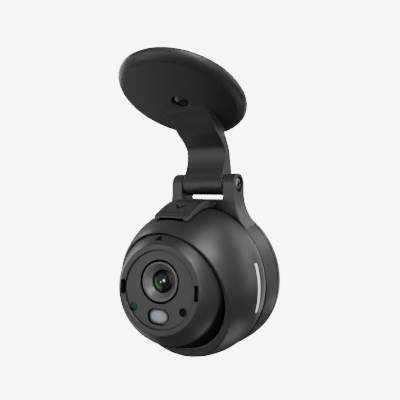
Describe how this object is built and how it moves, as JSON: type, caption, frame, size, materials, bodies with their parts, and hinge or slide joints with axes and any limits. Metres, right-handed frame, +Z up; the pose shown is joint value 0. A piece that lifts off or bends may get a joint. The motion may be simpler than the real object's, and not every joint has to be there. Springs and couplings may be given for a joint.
{
  "type": "dash camera",
  "caption": "Ball-shaped dash camera with a swivelling lens eyeball, hung from a tilting round adhesive mount, with a hinged cover over its memory card.",
  "frame": {"origin": "centre of the adhesive face on top of the mounting disc", "axes": "+Z up with the mount on a sloping windscreen, -Y towards the lens side, +X along the tilt hinge (to the right seen from the back)"},
  "size_m": [0.0578, 0.0576, 0.112],
  "materials": {
    "dark_shell": "fine matt texture",
    "adhesive": "dark foam tape",
    "dark_gloss": "smooth dark",
    "screw_steel": "plated steel",
    "plain_steel": "pressed sheet",
    "low_friction": "pale slippery plastic",
    "seal_rubber": "black rubber",
    "circuit_board": "green board",
    "battery_wrap": "blue wrap",
    "spreader_metal": "plain",
    "lens_glass": "coated",
    "diffuser": "milky",
    "led_yellow": "phosphor",
    "green_window": "dark green tint"
  },
  "bodies": {
    "bracket": {"mount_bracket": "dark_shell", "adhesive_pad": "adhesive", "top_plate": "plain_steel", "disc_screw": "screw_steel"},
    "camera_head": {"yoke_frame": "dark_shell", "hinge_bolt": "screw_steel", "hinge_nut": "screw_steel", "friction_washers": "low_friction", "front_shell": "dark_shell", "shell_screws": "screw_steel", "seam_gasket": "seal_rubber", "rear_cap": "dark_shell", "cap_screws": "screw_steel", "retainer_ring": "dark_shell", "retainer_screws": "screw_steel", "main_board": "circuit_board", "board_screws": "screw_steel", "card_socket": "plain_steel", "usb_socket": "plain_steel", "backup_battery": "battery_wrap", "speaker": "dark_gloss", "heat_spreader": "spreader_metal", "flap_pin": "screw_steel"},
    "access_flap": {"access_flap": "dark_shell"},
    "memory_card": {"memory_card": "dark_gloss"},
    "pivot_pads": {"pivot_pads": "low_friction"},
    "eyeball": {"eyeball_shell": "dark_shell", "face_plate": "dark_shell", "lens_barrel": "dark_gloss", "front_glass": "lens_glass", "inner_lenses": "lens_glass", "lens_holder": "dark_shell", "image_sensor": "dark_gloss", "sensor_board": "circuit_board", "sensor_screws": "screw_steel", "illuminator_window": "diffuser", "illuminator_led": "led_yellow", "light_sensor_window": "green_window", "light_sensor": "dark_gloss", "microphone": "plain_steel", "eye_rear_cover": "dark_shell", "cover_screws": "screw_steel"}
  },
  "joints": [
    {"name": "head_tilt", "type": "hinge", "parent": "bracket", "child": "camera_head", "pos_m": [0, 0.01607, -0.03463], "axis": [1, 0, 0], "range_deg": [-40, 60]},
    {"name": "eye_pan", "type": "hinge", "parent": "camera_head", "child": "pivot_pads", "pos_m": [0, -0.00303, -0.07213], "axis": [0, 0, 1], "range_deg": [-19, 1]},
    {"name": "eye_tilt", "type": "hinge", "parent": "pivot_pads", "child": "eyeball", "pos_m": [0, -0.00303, -0.07213], "axis": [0.9877, 0.1564, 0], "range_deg": [-6, 12]},
    {"name": "flap_open", "type": "hinge", "parent": "camera_head", "child": "access_flap", "pos_m": [0, 0.00942, -0.04168], "axis": [-1, 0, 0], "range_deg": [0, 75]},
    {"name": "card_push", "type": "slide", "parent": "camera_head", "child": "memory_card", "axis": [0, -1, 0], "range_m": [-0.0008, 0.002]}
  ]
}
